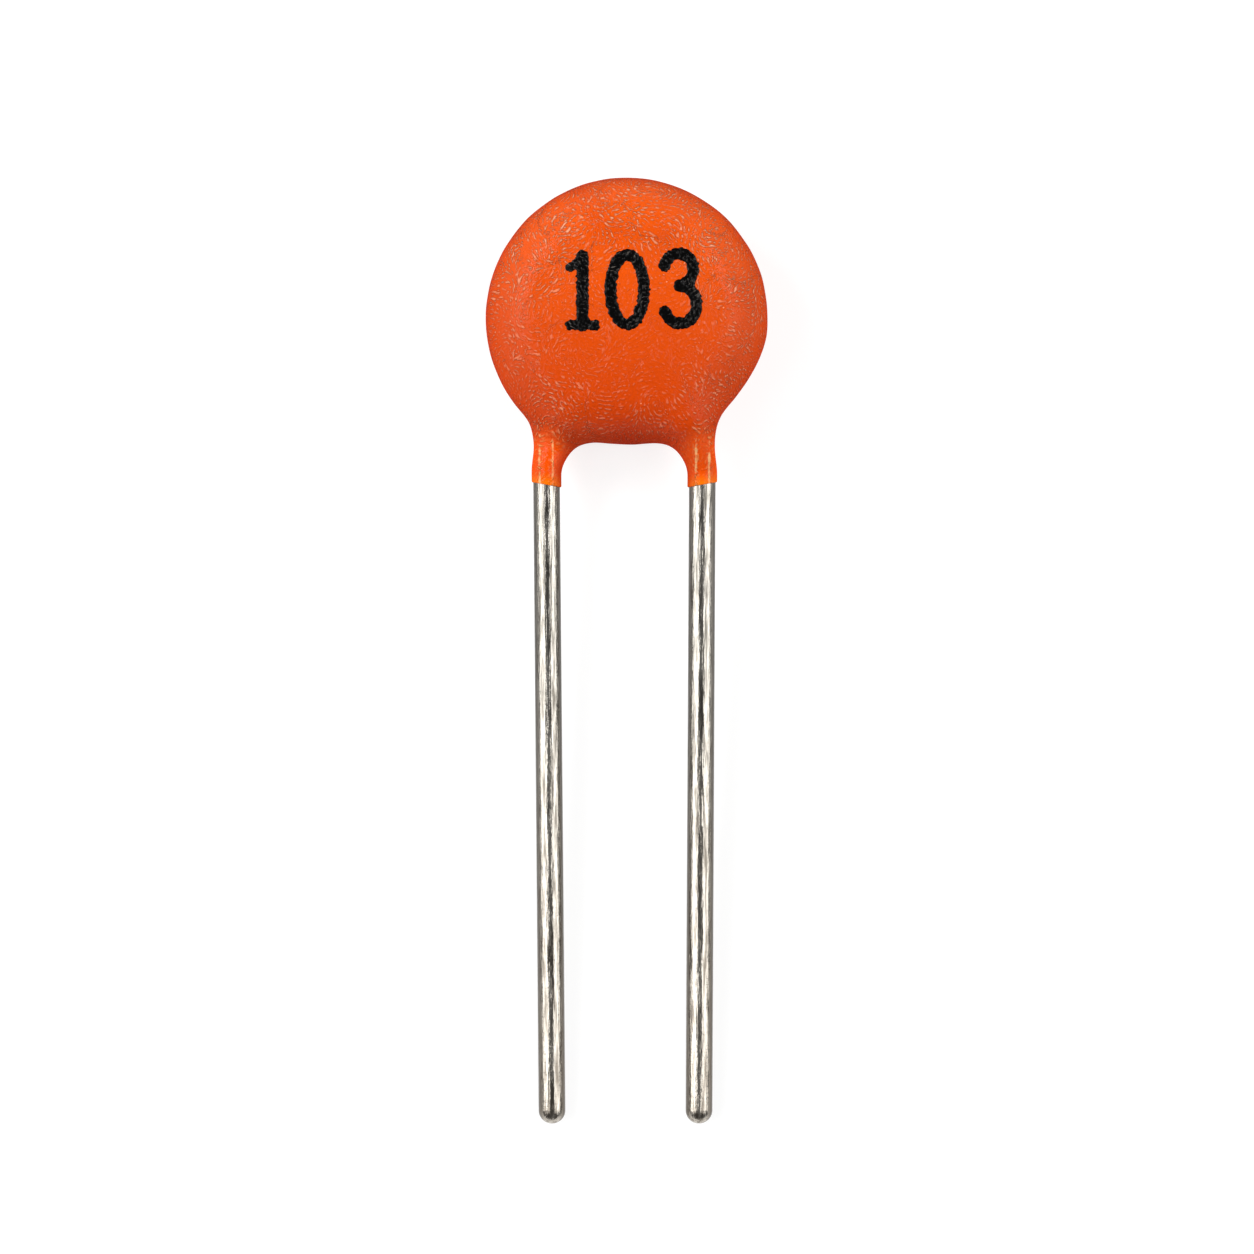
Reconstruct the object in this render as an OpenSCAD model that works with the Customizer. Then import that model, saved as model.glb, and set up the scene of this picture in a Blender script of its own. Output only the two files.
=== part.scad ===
// A ceramic disc capacitor: a metallised ceramic disc between two wire leads, dipped in orange resin.
// It lies as it comes to rest, with the back of the disc and both lead tips on the floor at z = 0.
// Millimetres. The leads point towards -Y, the marked face looks up, and the origin is under the middle.

/* [Ceramic element] */
// Diameter of the ceramic disc
disc_d = 3.8; // [3.4:0.1:4.2]
// Thickness of the ceramic disc
disc_t = 0.4; // [0.3:0.05:0.6]
// Bare ceramic left around each electrode
electrode_margin = 0.15; // [0.1:0.05:0.3]
// Thickness of each fired silver electrode
electrode_t = 0.02; // [0.01:0.005:0.04]

/* [Leads] */
// Diameter of the tinned wire
wire_d = 0.45; // [0.4:0.01:0.6]
// Distance between the leads' centres, halfway down their bare length
lead_pitch = 2.54; // [2.4:0.02:2.7]
// How far the pair of leads sits to the right of the disc's middle
lead_shift = -0.03; // [-0.1:0.01:0.1]
// Bare length of each lead below the coating
lead_length = 10.7; // [5:0.1:28]
// Angle by which the left lead runs inwards towards its tip
left_toe_in = 0.5; // [0:0.1:1]
// Angle by which the right lead runs inwards towards its tip
right_toe_in = 0.3; // [0:0.1:1]
// Height over which a lead steps from the middle plane out to its face of the disc
step_h = 0.75; // [0.65:0.05:0.9]
// How far the top of that step lies above the foot of the ceramic disc
step_inset = 0.15; // [0.05:0.05:0.25]
// Radius of the wire's centreline in a bend
bend_r = 0.5; // [0.4:0.05:0.6]
// Angle by which a lead leans inwards where it crosses the disc
lead_lean = 12; // [8:1:16]
// Length of each lead from the top of the step to its cut end
lead_over = 1.65; // [1.4:0.05:2]

/* [Solder] */
// Solder between each lead and its electrode
solder_film = 0.02; // [0.01:0.005:0.04]
// Width of each bead of solder
solder_w = 1; // [0.9:0.05:1.1]
// Height of the solder above its electrode
solder_h = 0.52; // [0.5:0.01:0.56]
// How far the middle of the solder lies before the lead's cut end
solder_inset = 0.5; // [0.4:0.05:0.6]

/* [Resin coating] */
// Resin around the rim of the ceramic disc
rim_cover = 0.47; // [0.4:0.01:0.6]
// Resin below the ceramic disc's foot, between the leads
foot_cover = 0.2; // [0.15:0.01:0.3]
// Resin over each lead where it crosses the disc
face_cover = 0.31; // [0.2:0.01:0.5]
// Radius of the two domed faces
dome_r = 12; // [9:0.5:20]
// Radius that rounds the rim from face to face
rim_round = 0.8; // [0.5:0.05:0.9]
// Length of the resin legs that run down the wires below the disc's foot
leg_length = 0.72; // [0.6:0.02:1]
// Resin on the wire at the end of a leg
leg_cover = 0.025; // [0.02:0.005:0.05]
// Reach of the fillets between the legs and the disc
leg_fillet = 0.56; // [0.4:0.02:0.8]
// Slant of a leg's end, lower on the side towards the other leg
end_slant = 10; // [0:1:15]
// How far the resin is drawn in above the right leg
shoulder_flat = 0.065; // [0:0.005:0.1]
// Direction of that flatter stretch, below the horizontal
shoulder_angle = 40; // [30:1:50]

/* [Marking] */
// Height of the digits
digit_h = 1.36; // [1:0.02:1.5]
// Width of the pen that draws them
pen_w = 0.19; // [0.12:0.01:0.22]
// Width of the first digit at its foot
one_w = 0.57; // [0.5:0.01:0.65]
// Width of the middle digit
zero_w = 0.76; // [0.65:0.01:0.85]
// Width of the last digit
three_w = 0.74; // [0.65:0.01:0.85]
// Gap between the first digit and the middle one
first_gap = 0.07; // [0.05:0.01:0.15]
// Gap between the middle digit and the last one
last_gap = 0.15; // [0.05:0.01:0.2]
// How far the middle of the marking lies to the right of the disc's middle
marking_x = 0.12; // [-0.2:0.01:0.2]
// How far the middle of the marking lies above the disc's middle
marking_y = 0.47; // [0:0.01:0.6]
// Thickness of the ink
ink_t = 0.02; // [0.01:0.005:0.03]

/* [Hidden] */
$fn = 64;

// Segments around one ring of the coating's skin, and rings over the disc and down each leg
skin_ring = 28;
skin_fan = 48;
skin_leg = 5;
// Halvings of the search for the skin
skin_halvings = 20;
// Fillet at the edge where the disc's round rim meets its straight foot
foot_fillet = 0.06;
// Fillet at each end of the shoulder's flatter stretch
shoulder_fillet = 0.32;
// How much thinner the wire draws in a bend
bend_waist = 0.01;
// Angle by which a bend runs on into the straight wire on each side
bend_lap = 3;
// Points along each arc of a digit
arc_steps = 24;
// The first digit's flag, in pen widths below the top: upper and lower end of its tip, and its root
flag = [1.2, 1.9, 1.3];
// Share of the last digit's height that each of its bowls takes
bowl_share = [0.45, 0.55];
// How far the middle of each bowl's stroke lies inside the digit's width, in half pen widths
bowl_inset = [1.4, 1];
// Angles at which the bowls' open ends stop, and how much wider than the pen the balls there are
bowl_ends = [170, -155];
ball_swell = 1.15;
// Height of the stub at the waist, as a share of the pen's width
stub_share = 0.9;

// Heights in the disc's thickness
face_z = disc_t / 2 + electrode_t;
wire_z = face_z + solder_film + wire_d / 2;
half_t = wire_z + wire_d / 2 + face_cover;

// Half of the pen, and half of the height between the middles of its top and bottom strokes
half_pen = pen_w / 2;
half_h = digit_h / 2 - half_pen;

// Places down the disc's height, counted from its middle
coat_r = disc_d / 2 + rim_cover;
foot_y = -disc_d / 2 - foot_cover;
leg_end_y = foot_y - leg_length;
step_top_y = -disc_d / 2 + step_inset;
step_foot_y = step_top_y - step_h;
fan_y = (foot_y + leg_end_y) / 2;
tip_y = leg_end_y - lead_length + wire_d / 2;
bare_mid_y = leg_end_y - lead_length / 2;

// Tilt and lift that bring the back of the disc and the lead tips down to the floor
dome_z = dome_r - half_t;
rest_tilt = atan2(-tip_y, dome_z) - acos((dome_r - wire_d / 2) / norm([tip_y, dome_z]));
rest_lift = dome_r - dome_z * cos(rest_tilt);
rest_y = (wire_d / 2 - (tip_y + coat_r) * cos(rest_tilt)) / 2;

// Side 1 is the right, whose lead crosses the front of the disc, and side -1 the left and the back.
// Both sides are drawn as the right one, and the left is then turned half round about the Y axis.
function to_side(p, side) = [side * p.x, p.y, side * p.z];

// Middle of a lead's straight outer run at height y
function toe_in(side) = side < 0 ? left_toe_in : right_toe_in;
function lead_out(side, y) = lead_pitch / 2 + side * lead_shift + (y - bare_mid_y) * tan(toe_in(side));
function lead_at(side, y) = [lead_out(side, y), y, 0];

// The rest of a lead's centreline: foot of the step, top of the step, cut end over the disc
function step_foot(side) = lead_at(side, step_foot_y);
function step_top(side) = step_foot(side) + [-step_h * tan(lead_lean), step_h, wire_z];
function cut_end(side) = step_top(side) + lead_over * [-sin(lead_lean), cos(lead_lean), 0];

// The lesser of a and b, rounded over a width k where they cross, and the greater likewise
function soft_min(a, b, k) = min(a, b) - pow(max(k - abs(a - b), 0), 2) / (4 * k);
function soft_max(a, b, k) = -soft_min(-a, -b, k);

// Vector v at a length of one
function unit(v) = v / norm(v);

// Distance from p to the straight stretch between a and b
function off_stretch(p, a, b) =
    let (run = b - a, t = max(0, min(1, (p - a) * run / (run * run)))) norm(p - a - t * run);

// Signed distance to the disc's outline from the front: a circle with a straight foot and a flat shoulder
function off_outline(p) =
    let (shoulder = p.x * cos(shoulder_angle) - p.y * sin(shoulder_angle) - (coat_r - shoulder_flat))
    soft_max(soft_max(norm([p.x, p.y]) - coat_r, foot_y - p.y, foot_fillet), shoulder, shoulder_fillet);

// Signed distance to the domed faces, one sphere for the front and one for the back
function off_dome(p) = norm([p.x, p.y, abs(p.z) + dome_z]) - dome_r;

// The dipped disc: inside its outline and between its domes, with the rim rounded
function off_disc(p) =
    let (a = off_outline(p) + rim_round, b = off_dome(p) + rim_round)
    min(max(a, b), 0) + norm([max(a, 0), max(b, 0)]) - rim_round;

// How far the wire turns in its bend at b, on the way from a to c, and the length that takes up on each side
function bend_turn(a, b, c) = acos(unit(b - a) * unit(c - b));
function bend_take(a, b, c) = bend_r * tan(bend_turn(a, b, c) / 2);

// The bend at the foot of a lead's step: its start, its end, its centre, and the way from there to its middle
function leg_bend(side) =
    let (a = lead_at(side, leg_end_y), b = step_foot(side), c = step_top(side),
         take = bend_take(a, b, c), outward = unit(unit(b - a) - unit(c - b)))
    [b - take * unit(b - a), b + take * unit(c - b), b - outward * norm([bend_r, take]), outward];
left_bend = leg_bend(-1);
right_bend = leg_bend(1);

// Distance from p to the arc of such a bend, or the disc's radius where p lies past one of the arc's ends
function off_bend(p, bend) =
    let (q = p - bend[2], start = bend[0] - bend[2], axis = unit(cross(start, bend[3])),
         h = q * axis, flat = q - h * axis)
    flat * bend[3] * bend_r > norm(flat) * (start * bend[3]) ? norm([norm(flat) - bend_r, h]) : coat_r;

// The resin that clings to one lead, from the end of the leg to just over the disc
function off_leg(p, side) =
    let (q = to_side(p, side), bend = side < 0 ? left_bend : right_bend)
    min(off_stretch(q, lead_at(side, leg_end_y), bend[0]), off_bend(q, bend),
        off_stretch(q, bend[1], step_top(side))) - wire_d / 2 - leg_cover;

// The whole coating: the disc with both legs flowing into it
function off_coating(p) =
    soft_min(soft_min(off_disc(p), off_leg(p, -1), leg_fillet), off_leg(p, 1), leg_fillet);

// How far the skin lies from the inner point m in direction d, by halving the stretch from near to far
function skin_reach(m, d, near, far, turns) =
    let (mid = (near + far) / 2)
    turns == 0 ? mid
    : off_coating(m + mid * d) < 0 ? skin_reach(m, d, mid, far, turns - 1)
    : skin_reach(m, d, near, mid, turns - 1);

// One ring of the skin, around m in the plane of the direction u and the Z axis, wide times as wide as thick
function skin_loop(m, u, wide, far) =
    [for (i = [0 : skin_ring - 1])
        let (a = 360 * i / skin_ring, d = unit(wide * cos(a) * u + [0, 0, sin(a)]))
        m + skin_reach(m, d, 0, far, skin_halvings) * d];

// A ring on a leg, level at the top of the leg and slanted as its end is, at a share of the leg's height
function leg_loop(side, share) =
    let (slant = end_slant * (1 - share), y = leg_end_y + share * (fan_y - leg_end_y))
    skin_loop(to_side(lead_at(side, y), side), [side * cos(slant), sin(slant), 0], 1, lead_pitch / 2);

// A ring over the disc, in a plane that fans out from a point between the legs
function fan_loop(angle) =
    let (u = [cos(angle), sin(angle), 0], rise = pow(sin(angle), 3),
         out = lead_out(1, fan_y) + (lead_out(-1, fan_y) - lead_out(1, fan_y)) * angle / 180,
         wide = 1 + (coat_r / half_t - 1) * pow(sin(angle), 2))
    skin_loop([0, fan_y, 0] + (out + rise * (-fan_y - lead_pitch / 2)) * u, u, wide,
              lead_pitch / 2 + rise * coat_r);

// A closed skin through equal rings, with a flat end on the first and on the last
module skin(loops) {
    n = len(loops[0]);
    last = (len(loops) - 1) * n;
    polyhedron(
        points = [for (loop = loops) each loop],
        faces = concat(
            [[for (j = [0 : n - 1]) j]],
            [for (i = [0 : len(loops) - 2], j = [0 : n - 1])
                let (a = i * n + j, b = i * n + (j + 1) % n) each [[a, a + n, b], [b, a + n, b + n]]],
            [[for (j = [n - 1 : -1 : 0]) last + j]]));
}

// Carries the part from the disc's own frame to where it lies on the floor
module at_rest() {
    translate([0, rest_y, rest_lift]) rotate([rest_tilt, 0, 0]) children();
}

// Turns what is drawn for the right and the front to the side where it belongs
module on_side(side) {
    rotate([0, side < 0 ? 180 : 0, 0]) children();
}

// Turns what is drawn along the Z axis to run along v
module along(v) {
    rotate([0, acos(v.z / norm(v)), atan2(v.y, v.x)]) children();
}

// Straight wire from a to b
module wire(a, b) {
    translate(a) along(b - a) cylinder(h = norm(b - a), d = wire_d);
}

// Straight wire from a to b with its end at b rounded
module round_ended_wire(a, b) {
    translate(a) along(b - a) rotate_extrude() {
        square([wire_d / 2, norm(b - a)]);
        intersection() {
            translate([0, norm(b - a)]) circle(d = wire_d);
            translate([0, norm(b - a) - wire_d]) square(wire_d * 2);
        }
    }
}

// The wire's bend at b, on the way from a to c, as an arc that laps into the straight wire on both sides
module bend(a, b, c) {
    run = unit(b - a);
    inward = unit(unit(c - b) - run);
    centre = b + inward * bend_r / cos(bend_turn(a, b, c) / 2);
    x = unit(b - run * bend_take(a, b, c) - centre);
    z = cross(x, run);
    multmatrix([for (i = [0 : 2]) [x[i], run[i], z[i], centre[i]]])
        rotate([0, 0, -bend_lap]) rotate_extrude(angle = bend_turn(a, b, c) + 2 * bend_lap)
            translate([bend_r, 0]) circle(d = wire_d - bend_waist);
}

// A lead of tinned wire with a rounded tip, a step up to its face of the disc and a run over it
module lead(side) {
    tip = lead_at(side, tip_y);
    foot = step_foot(side);
    top = step_top(side);
    end = cut_end(side);
    low = bend_take(tip, foot, top);
    high = bend_take(foot, top, end);
    on_side(side) {
        round_ended_wire(foot + low * unit(tip - foot), tip);
        bend(tip, foot, top);
        wire(foot + low * unit(top - foot), top + high * unit(foot - top));
        bend(foot, top, end);
        wire(top + high * unit(end - top), end);
    }
}

// A bead of solder on the silver, before its lead's place is cut out
module solder_bead(side) {
    bead_r = (pow(solder_w / 2, 2) + pow(solder_h, 2)) / (2 * solder_h);
    middle = cut_end(side) + solder_inset * unit(step_top(side) - cut_end(side));
    on_side(side) intersection() {
        translate([middle.x, middle.y, face_z + solder_h - bead_r]) sphere(r = bead_r);
        translate([0, 0, face_z]) cylinder(h = half_t, r = disc_d / 2 - electrode_margin);
    }
}

// Solder that holds a lead to its electrode from both sides and from above
module solder(side) {
    difference() {
        solder_bead(side);
        lead(side);
    }
}

// Silver fired on one face of the ceramic
module electrode(side) {
    on_side(side) translate([0, 0, disc_t / 2])
        cylinder(h = electrode_t, r = disc_d / 2 - electrode_margin, $fn = 96);
}

// The ceramic itself
module ceramic() {
    translate([0, 0, -disc_t / 2]) cylinder(h = disc_t, d = disc_d, $fn = 96);
}

// Points along an arc of an ellipse
function arc_line(c, rx, ry, from, to) =
    [for (i = [0 : arc_steps]) let (a = from + (to - from) * i / arc_steps) c + [rx * cos(a), ry * sin(a)]];

// A slab serif at the foot, a stem, and a flag that drops to the left from the top
module digit_one() {
    foot = pen_w - digit_h / 2;
    top = digit_h / 2;
    polygon([[-one_w / 2, -top], [one_w / 2, -top], [one_w / 2, foot], [half_pen, foot],
             [half_pen, top], [-half_pen / 2, top], [-one_w / 2, top - flag[0] * pen_w],
             [-one_w / 2, top - flag[1] * pen_w], [-half_pen, top - flag[2] * pen_w],
             [-half_pen, foot], [-one_w / 2, foot]]);
}

// An upright ellipse, drawn once round
module digit_zero() {
    difference() {
        polygon(arc_line([0, 0], zero_w / 2, digit_h / 2, 0, 360 - 360 / arc_steps));
        polygon(arc_line([0, 0], zero_w / 2 - pen_w, half_h - half_pen, 0, 360 - 360 / arc_steps));
    }
}

// Two bowls that meet at the waist, the upper one a little the smaller, with a ball at each open end
module digit_three() {
    rx = [for (inset = bowl_inset) three_w / 2 - inset * half_pen];
    ry = bowl_share * half_h;
    waist = half_h - 2 * ry[0];
    c = [[rx[0] - rx[1], waist + ry[0]], [0, waist - ry[1]]];
    function ball(i, from) = arc_line(c[i] + [rx[i] * cos(bowl_ends[i]), ry[i] * sin(bowl_ends[i])],
                                      ball_swell * half_pen, ball_swell * half_pen, from, from - 180);
    polygon(concat(
        arc_line(c[0], rx[0] + half_pen, ry[0] + half_pen, bowl_ends[0], -asin(ry[0] / (ry[0] + half_pen))),
        arc_line(c[1], rx[1] + half_pen, ry[1] + half_pen, asin(ry[1] / (ry[1] + half_pen)), bowl_ends[1]),
        ball(1, bowl_ends[1]),
        arc_line(c[1], rx[1] - half_pen, ry[1] - half_pen, bowl_ends[1], 90),
        [[-half_pen, waist - stub_share * half_pen], [-half_pen, waist + stub_share * half_pen]],
        arc_line(c[0], rx[0] - half_pen, ry[0] - half_pen, -90, bowl_ends[0]),
        ball(0, bowl_ends[0] + 180)));
}

module digits() {
    width = one_w + first_gap + zero_w + last_gap + three_w;
    translate([marking_x - width / 2, marking_y]) {
        translate([one_w / 2, 0]) digit_one();
        translate([one_w + first_gap + zero_w / 2, 0]) digit_zero();
        translate([width - three_w / 2, 0]) digit_three();
    }
}

module ceramic_disc() {
    color("#D8CFC0") at_rest() ceramic();
}

module front_electrode() {
    color("#D9D9D6") at_rest() electrode(1);
}

module back_electrode() {
    color("#D9D9D6") at_rest() electrode(-1);
}

module front_solder() {
    color("#A9ABAE") at_rest() solder(1);
}

module back_solder() {
    color("#A9ABAE") at_rest() solder(-1);
}

module front_lead() {
    color("#B9B7B2") at_rest() lead(1);
}

module back_lead() {
    color("#B9B7B2") at_rest() lead(-1);
}

// Dipped resin, moulded onto everything that it holds
module coating() {
    color("#E4572A") at_rest() difference() {
        skin(concat(
            [for (i = [0 : skin_leg - 1]) leg_loop(-1, i / skin_leg)],
            [for (i = [0 : skin_fan]) fan_loop(180 - 180 * i / skin_fan)],
            [for (i = [skin_leg - 1 : -1 : 0]) leg_loop(1, i / skin_leg)]));
        for (side = [-1, 1]) {
            solder(side);
            lead(side);
        }
        ceramic();
        for (side = [-1, 1]) electrode(side);
    }
}

// Ink that follows the domed front face
module value_marking() {
    color("#1C1A19") at_rest() intersection() {
        linear_extrude(half_t * 2) digits();
        translate([0, 0, -dome_z]) rotate([90, 0, 0]) difference() {
            sphere(r = dome_r + ink_t, $fn = 128);
            sphere(r = dome_r, $fn = 128);
        }
    }
}

ceramic_disc();
front_electrode();
back_electrode();
front_solder();
back_solder();
front_lead();
back_lead();
coating();
value_marking();
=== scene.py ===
# %% [markdown]
# # A ceramic disc capacitor on a white table
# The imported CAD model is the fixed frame: it fixes where everything is and how big it is. This file dresses it. The
# resin skin, the two wires and the printed numerals are worked out again as fine surfaces, and the pieces inside, which
# nobody sees, keep their CAD meshes and get a finish of their own.

# %% Load the CAD frame
import math

import bpy
import numpy as np
from mathutils import Matrix, Vector


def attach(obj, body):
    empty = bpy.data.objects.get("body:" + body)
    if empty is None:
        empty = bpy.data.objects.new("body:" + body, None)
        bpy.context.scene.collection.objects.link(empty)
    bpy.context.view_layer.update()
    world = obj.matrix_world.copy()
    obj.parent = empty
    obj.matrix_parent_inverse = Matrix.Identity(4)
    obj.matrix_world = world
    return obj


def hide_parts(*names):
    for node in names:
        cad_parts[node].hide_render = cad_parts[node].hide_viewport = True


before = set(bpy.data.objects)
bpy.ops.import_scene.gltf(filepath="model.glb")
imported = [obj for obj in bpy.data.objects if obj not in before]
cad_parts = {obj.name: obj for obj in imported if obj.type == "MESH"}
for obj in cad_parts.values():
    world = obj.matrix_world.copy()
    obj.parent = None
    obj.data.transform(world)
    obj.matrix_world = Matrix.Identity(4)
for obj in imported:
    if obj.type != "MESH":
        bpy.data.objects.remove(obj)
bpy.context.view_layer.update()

# %% [markdown]
# ## Two frames
# The capacitor was designed standing upright, centred on its disc: x to the right, y up, z towards the marking, all in
# millimetres. At rest it lies on its back, tipped by the thickness of the disc, with the ends of its wires touching the
# table. Every shape below is worked out upright, and one function lays it down and turns it into metres.

# %% Size of the disc, the resin and the wires, in millimetres
DISC_D, DISC_T, ELECTRODE_T = 3.8, 0.4, 0.02
WIRE_D, LEAD_PITCH, LEAD_SHIFT, LEAD_LENGTH = 0.45, 2.54, -0.03, 10.7
TOE_IN = {1: math.radians(0.3), -1: math.radians(0.5)}
STEP_H, BEND_R, LEAD_LEAN, LEAD_OVER = 0.75, 0.5, math.radians(12), 1.65
SOLDER_FILM = 0.02
RIM_COVER, FOOT_COVER, FACE_COVER = 0.47, 0.2, 0.31
DOME_R, RIM_ROUND = 12.0, 0.8
LEG_LENGTH, LEG_COVER, LEG_FILLET, END_SLANT = 0.72, 0.025, 0.56, math.radians(10)
SHOULDER_FLAT, SHOULDER_ANGLE = 0.065, math.radians(40)
FOOT_FILLET, SHOULDER_FILLET, STEP_INSET = 0.06, 0.32, 0.15

WIRE_R = WIRE_D / 2
WIRE_Z = DISC_T / 2 + ELECTRODE_T + SOLDER_FILM + WIRE_R
HALF_T = WIRE_Z + WIRE_R + FACE_COVER
COAT_R = DISC_D / 2 + RIM_COVER
FOOT_Y = -(DISC_D / 2 + FOOT_COVER)
LEG_END_Y = FOOT_Y - LEG_LENGTH
STEP_TOP_Y = -(DISC_D / 2 - STEP_INSET)
STEP_FOOT_Y = STEP_TOP_Y - STEP_H
FAN_Y = (FOOT_Y + LEG_END_Y) / 2
BARE_MID_Y = LEG_END_Y - LEAD_LENGTH / 2
DOME_Z = DOME_R - HALF_T
print("resin: radius", COAT_R, "mm, half thickness", HALF_T, "mm")

# %% How it lies at rest
REST_TILT = math.radians(3.42671970)
REST_Y, REST_LIFT = 5.5652334, 1.0196673


def lay_down(points):
    """Upright millimetres to resting metres: a turn by the tilt about the x axis, then a shift along y and up."""
    x, y, z = np.moveaxis(np.asarray(points, float), -1, 0)
    cos, sin = math.cos(REST_TILT), math.sin(REST_TILT)
    return np.stack([x, REST_Y + y * cos - z * sin, REST_LIFT + y * sin + z * cos], -1) / 1000


# %% [markdown]
# ## From a grid of points to a mesh
# The skin and the wires are tubes: a grid of points, one ring after another. numpy works out every point at once, and
# the faces join each point with its neighbours in the grid. A small flat face closes each end, so that no edge is open.


# %% Mesh helpers
def tube_faces(rows, columns):
    """Quads between the rings of a tube, seen from outside anticlockwise, and one face across each end."""
    row, column = np.meshgrid(np.arange(rows - 1), np.arange(columns), indexing="ij")
    after = (column + 1) % columns
    corners = [row * columns + column, row * columns + after, (row + 1) * columns + after, (row + 1) * columns + column]
    quads = np.stack(corners, -1).reshape(-1, 4).tolist()
    first = np.arange(columns)
    last = (rows - 1) * columns + first
    return quads + [first[::-1].tolist(), last.tolist()]


def make_piece(name, points, faces, material, node):
    """A smooth shaded mesh that rides on the body, stands for a CAD node, and takes its finish from a slot."""
    mesh = bpy.data.meshes.new(name)
    mesh.from_pydata(points.tolist(), [], faces)
    mesh.validate()
    mesh.polygons.foreach_set("use_smooth", np.ones(len(mesh.polygons), bool))
    mesh.materials.append(material)
    piece = bpy.data.objects.new(name, mesh)
    bpy.context.scene.collection.objects.link(piece)
    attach(piece, "root")
    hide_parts(node)
    triangles = sum(len(face.vertices) - 2 for face in mesh.polygons)
    print(name, "has", len(mesh.vertices), "points and", triangles, "triangles")
    return piece


def give_shares(piece, shares):
    """Stores one number for each point of a piece under each name, where a finish can read it."""
    for name, values in shares.items():
        stored = piece.data.attributes.new(name, "FLOAT", "POINT")
        stored.data.foreach_set("value", values.ravel().astype(np.float32))


def ripple(points, wave, seed, count=24):
    """Smooth waviness from -1 to 1: the mean of many flat cosine waves in random directions, about wave mm long."""
    dice = np.random.default_rng(seed)
    directions = dice.normal(size=(count, points.shape[-1]))
    directions /= np.linalg.norm(directions, axis=1, keepdims=True)
    pace = 2 * np.pi / (wave * dice.uniform(0.7, 1.4, count))
    starts = dice.uniform(0, 2 * np.pi, count)
    return np.cos(points @ (directions * pace[:, None]).T + starts).sum(-1) / math.sqrt(2 * count)


# %% [markdown]
# ## Finishes
# A finish is a small graph of nodes. Colours are written as they look on a screen and turned to linear light by one
# function, and every pattern is measured in millimetres on the upright capacitor, through a Mapping node.


# %% Helpers for finishes
def linear(code):
    """An sRGB hex colour as linear red, green, blue and alpha."""
    s = np.array([int(code[i : i + 2], 16) for i in (1, 3, 5)]) / 255
    return (*np.where(s <= 0.04045, s / 12.92, ((s + 0.055) / 1.055) ** 2.4), 1.0)


def add(material, kind, feeds, **settings):
    """Adds one node, gives it its settings, and feeds each input from another node's output or from a value."""
    node = material.node_tree.nodes.new("ShaderNode" + kind)
    for name, value in settings.items():
        setattr(node, name, value)
    for socket, value in feeds.items():
        if isinstance(value, bpy.types.NodeSocket):
            material.node_tree.links.new(value, node.inputs[socket])
        else:
            node.inputs[socket].default_value = value
    return node


def blend(material, share, base, code, **range_of):
    """Blends a colour towards another by a share, which may be stretched over a range first.

    The sockets 6 and 7 of a Mix node are its two colours, and its third output is the blended one.
    """
    if range_of:
        limits = {"Value": share, **{name.replace("_", " "): value for name, value in range_of.items()}}
        share = add(material, "MapRange", limits).outputs[0]
    return add(material, "Mix", {0: share, 6: base, 7: linear(code)}, data_type="RGBA").outputs[2]


def read_share(material, name, output="Fac"):
    """A number, or with another output a vector, that is stored on the mesh for each point."""
    return add(material, "Attribute", {}, attribute_name=name).outputs[output]


def new_finish(name, **shader):
    """A material with one Principled shader, and the upright millimetres that its patterns read."""
    material = bpy.data.materials.new(name)
    material.use_nodes = True
    principled = material.node_tree.nodes["Principled BSDF"]
    for socket, value in shader.items():
        principled.inputs[socket.replace("_", " ")].default_value = value
    place = add(material, "TexCoord", {}).outputs["Object"]
    cos, sin = math.cos(REST_TILT), math.sin(REST_TILT)
    centre = (0, -REST_Y * cos - REST_LIFT * sin, REST_Y * sin - REST_LIFT * cos)
    turned = {"Vector": place, "Location": centre, "Rotation": (-REST_TILT, 0, 0), "Scale": (1000, 1000, 1000)}
    return material, principled, add(material, "Mapping", turned).outputs["Vector"]


# %% [markdown]
# ### Dipped resin
# The body is dipped in a phenolic or epoxy resin that is pigmented orange, and baked. The skin shrinks as it cures and
# keeps fine wrinkles, like a fingerprint, which break up its gloss. Contour lines of a smooth noise would run on in
# closed loops, so short strokes of Gabor noise are used instead, about 0.07 mm apart and stronger in some patches.


# %% Wrinkles of the baked resin
# For each layer of strokes: packets in a millimetre, waves in a packet, and the height where a crest starts and ends.
LAYERS = ((3.6, 3.8, 0.52, 0.78), (2.6, 3.1, 0.57, 0.8))


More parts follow.
